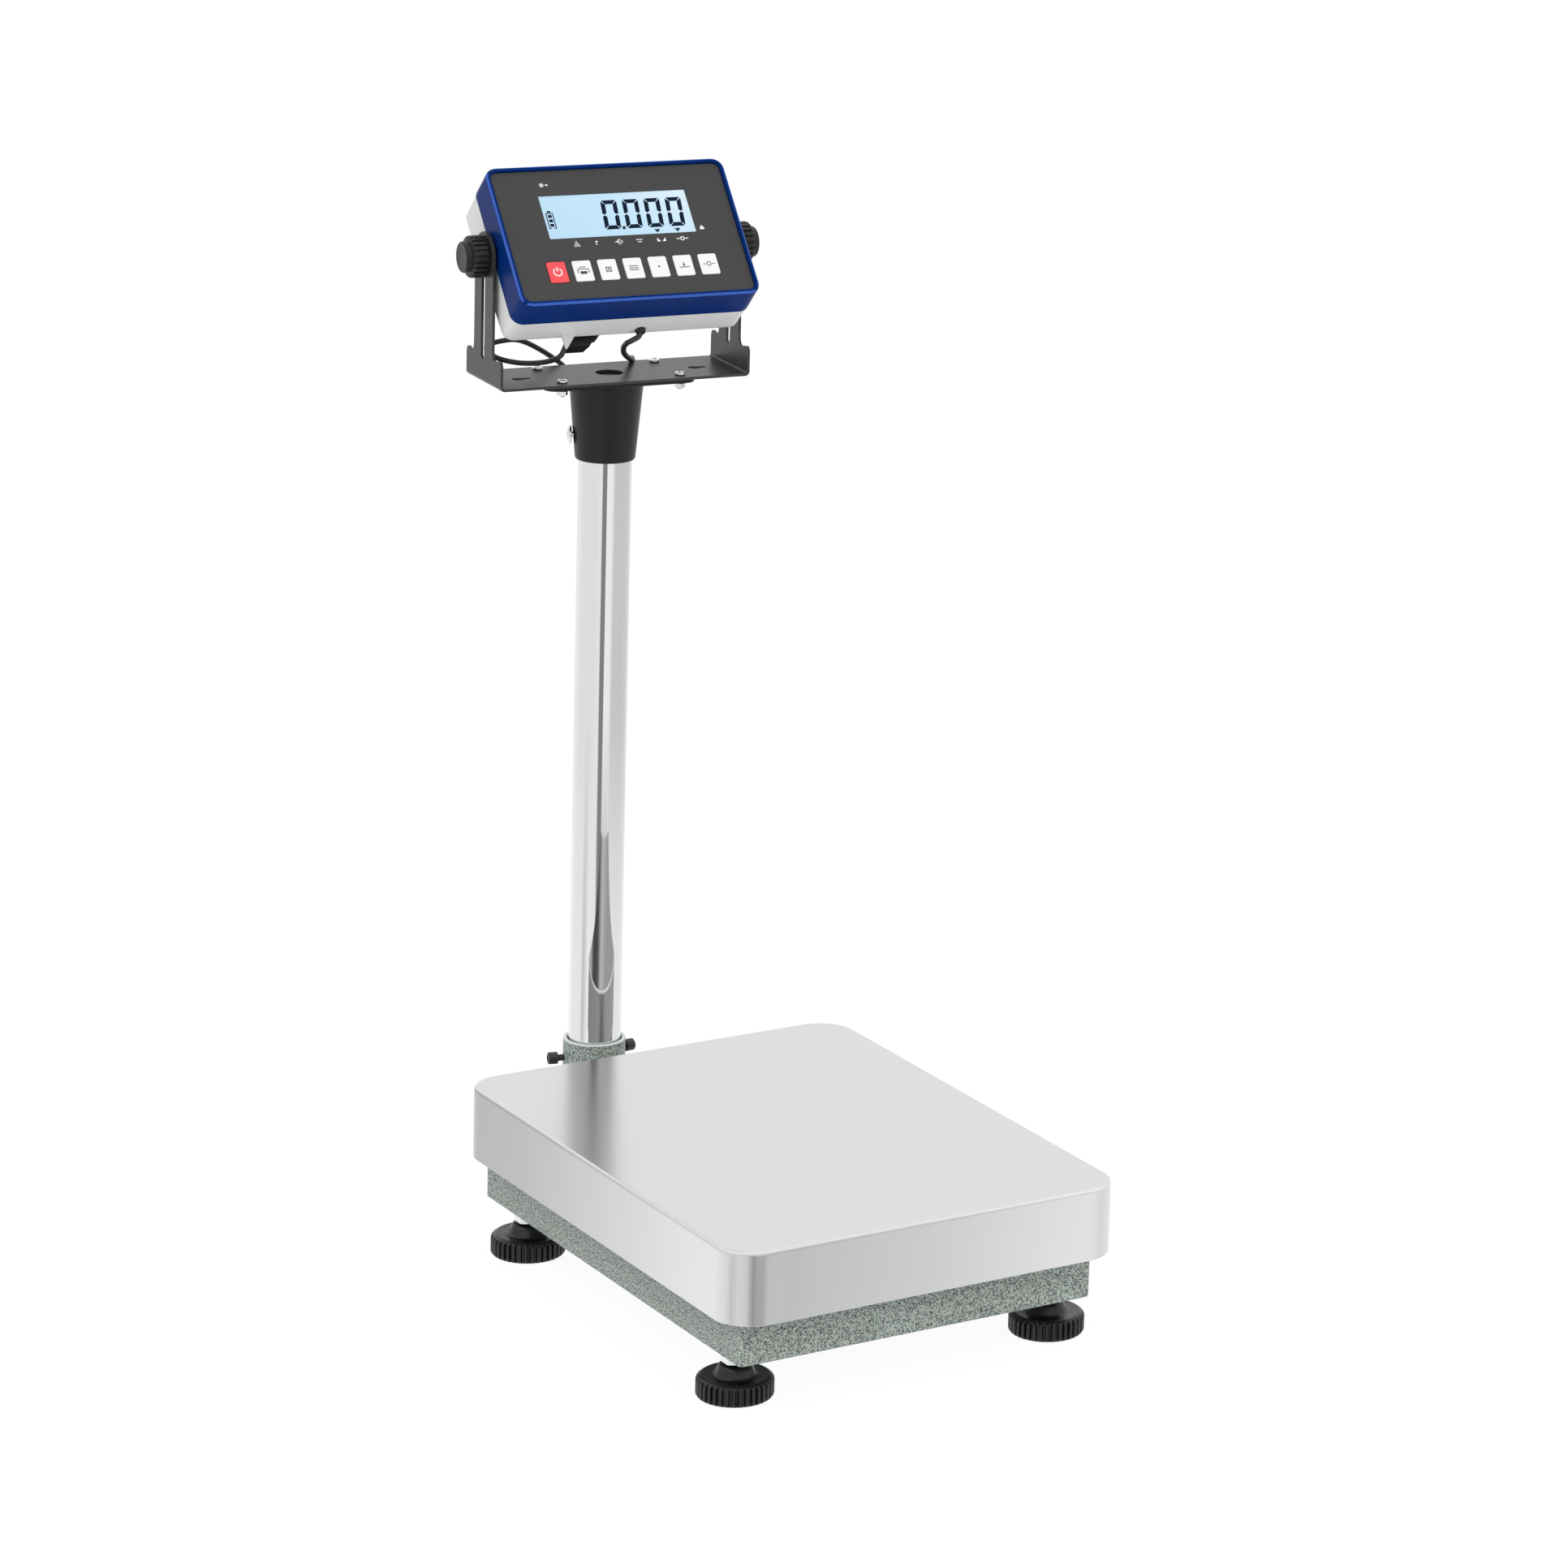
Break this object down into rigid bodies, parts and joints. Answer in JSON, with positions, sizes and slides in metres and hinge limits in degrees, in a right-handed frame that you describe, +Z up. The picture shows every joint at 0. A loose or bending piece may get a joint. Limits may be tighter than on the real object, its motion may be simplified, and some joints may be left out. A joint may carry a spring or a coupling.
{
  "type": "bench scale",
  "caption": "Bench weighing scale: steel tray on a box base with levelling feet, rear column, and a tilting indicator head with keys and side clamp knobs.",
  "frame": {"origin": "on the floor plane, under the middle of the whole scale's outline; the middle of the tray is 76.9 mm in front of it", "axes": "+Z up, -Y towards the person reading the indicator, +X to that person's right"},
  "size_m": [0.3, 0.5521, 0.7456],
  "materials": {
    "hammertone": "hammered enamel, grey-green with dark veins",
    "cell_aluminium": "machined",
    "zinc_steel": "zinc plated",
    "black_powder": "black powder coat",
    "rubber": "moulded",
    "brushed_stainless": "brushed stainless, fine grain across the width",
    "black_plastic": "moulded, satin",
    "chrome": "polished",
    "bracket_powder": "dark grey powder coat",
    "bezel_blue": "satin moulded",
    "housing_grey": "light grey moulded",
    "panel_film": "matt overlay film",
    "window_clear": "clear acrylic",
    "display_face": "backlit pale blue with dark segments",
    "key_red": "satin",
    "key_white": "satin",
    "board_green": "solder mask",
    "battery_wrap": "shrink wrap",
    "cable_black": "pvc sheath"
  },
  "bodies": {
    "base": {"base_frame": "hammertone", "column_socket": "hammertone", "load_cell": "cell_aluminium", "cell_bolt_base_front": "zinc_steel", "cell_bolt_base_rear": "zinc_steel", "foot_lock_nut_fl": "chrome", "foot_lock_nut_fr": "chrome", "foot_lock_nut_bl": "chrome", "foot_lock_nut_br": "chrome", "cell_cable": "cable_black"},
    "platform": {"platform_spider": "black_powder", "cell_bolt_top_front": "zinc_steel", "cell_bolt_top_rear": "zinc_steel", "tray_pad_fl": "rubber", "tray_pad_fr": "rubber", "tray_pad_bl": "rubber", "tray_pad_br": "rubber"},
    "tray": {"platform_tray": "brushed_stainless"},
    "foot_fl": {"foot_pad_fl": "black_plastic", "foot_stud_fl": "zinc_steel"},
    "foot_fr": {"foot_pad_fr": "black_plastic", "foot_stud_fr": "zinc_steel"},
    "foot_bl": {"foot_pad_bl": "black_plastic", "foot_stud_bl": "zinc_steel"},
    "foot_br": {"foot_pad_br": "black_plastic", "foot_stud_br": "zinc_steel"},
    "socket_screw_left": {"socket_clamp_screw_left": "black_powder"},
    "socket_screw_right": {"socket_clamp_screw_right": "black_powder"},
    "column": {"column_tube": "chrome", "head_adapter": "black_plastic", "indicator_bracket": "bracket_powder", "bracket_screw_fl": "chrome", "bracket_screw_fr": "chrome", "bracket_screw_bl": "chrome", "bracket_screw_br": "chrome", "bracket_nut_fl": "chrome", "bracket_nut_fr": "chrome", "bracket_nut_bl": "chrome", "bracket_nut_br": "chrome"},
    "adapter_screw": {"adapter_clamp_screw": "chrome"},
    "carriage": {"pivot_washer_left": "black_plastic", "pivot_washer_right": "black_plastic"},
    "indicator": {"front_bezel": "bezel_blue", "rear_housing": "housing_grey", "front_panel": "panel_film", "display_window": "window_clear", "display_module": "display_face", "main_board": "board_green", "battery_pack": "battery_wrap", "cell_plug": "black_plastic", "power_lead": "cable_black"},
    "key_1_power": {"button_1_power": "key_red"},
    "key_2_print": {"button_2_print": "key_white"},
    "key_3_count": {"button_3_count": "key_white"},
    "key_4_mode": {"button_4_mode": "key_white"},
    "key_5_point": {"button_5_point": "key_white"},
    "key_6_tare": {"button_6_tare": "key_white"},
    "key_7_zero": {"button_7_zero": "key_white"},
    "knob_left": {"side_knob_left": "black_plastic"},
    "knob_right": {"side_knob_right": "black_plastic"}
  },
  "joints": [
    {"name": "foot_fl_height", "type": "slide", "parent": "base", "child": "foot_fl", "axis": [0, 0, 1], "range_m": [-0.008, 0]},
    {"name": "foot_fr_height", "type": "slide", "parent": "base", "child": "foot_fr", "axis": [0, 0, 1], "range_m": [-0.008, 0]},
    {"name": "foot_bl_height", "type": "slide", "parent": "base", "child": "foot_bl", "axis": [0, 0, 1], "range_m": [-0.008, 0]},
    {"name": "foot_br_height", "type": "slide", "parent": "base", "child": "foot_br", "axis": [0, 0, 1], "range_m": [-0.008, 0]},
    {"name": "platform_deflection", "type": "slide", "parent": "base", "child": "platform", "axis": [0, 0, 1], "range_m": [-0.0004, 0], "stiffness_N_per_m": 300000},
    {"name": "tray_lift", "type": "slide", "parent": "platform", "child": "tray", "axis": [0, 0, 1], "range_m": [0, 0.08]},
    {"name": "socket_screw_left_turn", "type": "hinge", "parent": "base", "child": "socket_screw_left", "pos_m": [0, 0.2121, 0.0853], "axis": [-0.9659, 0.2588, 0], "continuous": true},
    {"name": "socket_screw_right_turn", "type": "hinge", "parent": "base", "child": "socket_screw_right", "pos_m": [0, 0.2121, 0.088], "axis": [0.9962, 0.0872, 0], "continuous": true},
    {"name": "column_swivel", "type": "hinge", "parent": "base", "child": "column", "pos_m": [0, 0.2121, 0], "axis": [0, 0, 1], "range_deg": [-40, 50], "deforming": ["cell_cable"]},
    {"name": "adapter_screw_turn", "type": "hinge", "parent": "column", "child": "adapter_screw", "pos_m": [0, 0.2121, 0.5515], "axis": [-0.9063, 0.4226, 0], "continuous": true},
    {"name": "indicator_height", "type": "slide", "parent": "column", "child": "carriage", "axis": [0, 0, 1], "range_m": [-0.012, 0.002], "deforming": ["cell_cable", "power_lead"]},
    {"name": "indicator_tilt", "type": "hinge", "parent": "carriage", "child": "indicator", "pos_m": [0.00181, 0.21445, 0.6862], "axis": [0.9962, -0.0872, 0], "range_deg": [-30, 43], "deforming": ["cell_cable", "power_lead"]},
    {"name": "key_1_power_press", "type": "slide", "parent": "indicator", "child": "key_1_power", "axis": [0.0641, 0.7321, -0.6782], "range_m": [0, 0.0006], "stiffness_N_per_m": 1500, "springref_m": -0.001},
    {"name": "key_2_print_press", "type": "slide", "parent": "indicator", "child": "key_2_print", "axis": [0.0641, 0.7321, -0.6782], "range_m": [0, 0.0006], "stiffness_N_per_m": 1500, "springref_m": -0.001},
    {"name": "key_3_count_press", "type": "slide", "parent": "indicator", "child": "key_3_count", "axis": [0.0641, 0.7321, -0.6782], "range_m": [0, 0.0006], "stiffness_N_per_m": 1500, "springref_m": -0.001},
    {"name": "key_4_mode_press", "type": "slide", "parent": "indicator", "child": "key_4_mode", "axis": [0.0641, 0.7321, -0.6782], "range_m": [0, 0.0006], "stiffness_N_per_m": 1500, "springref_m": -0.001},
    {"name": "key_5_point_press", "type": "slide", "parent": "indicator", "child": "key_5_point", "axis": [0.0641, 0.7321, -0.6782], "range_m": [0, 0.0006], "stiffness_N_per_m": 1500, "springref_m": -0.001},
    {"name": "key_6_tare_press", "type": "slide", "parent": "indicator", "child": "key_6_tare", "axis": [0.0641, 0.7321, -0.6782], "range_m": [0, 0.0006], "stiffness_N_per_m": 1500, "springref_m": -0.001},
    {"name": "key_7_zero_press", "type": "slide", "parent": "indicator", "child": "key_7_zero", "axis": [0.0641, 0.7321, -0.6782], "range_m": [0, 0.0006], "stiffness_N_per_m": 1500, "springref_m": -0.001},
    {"name": "knob_left_turn", "type": "hinge", "parent": "indicator", "child": "knob_left", "pos_m": [0.00181, 0.21445, 0.6862], "axis": [-0.9962, 0.0872, 0], "continuous": true},
    {"name": "knob_right_turn", "type": "hinge", "parent": "indicator", "child": "knob_right", "pos_m": [0.00181, 0.21445, 0.6862], "axis": [0.9962, -0.0872, 0], "continuous": true}
  ]
}
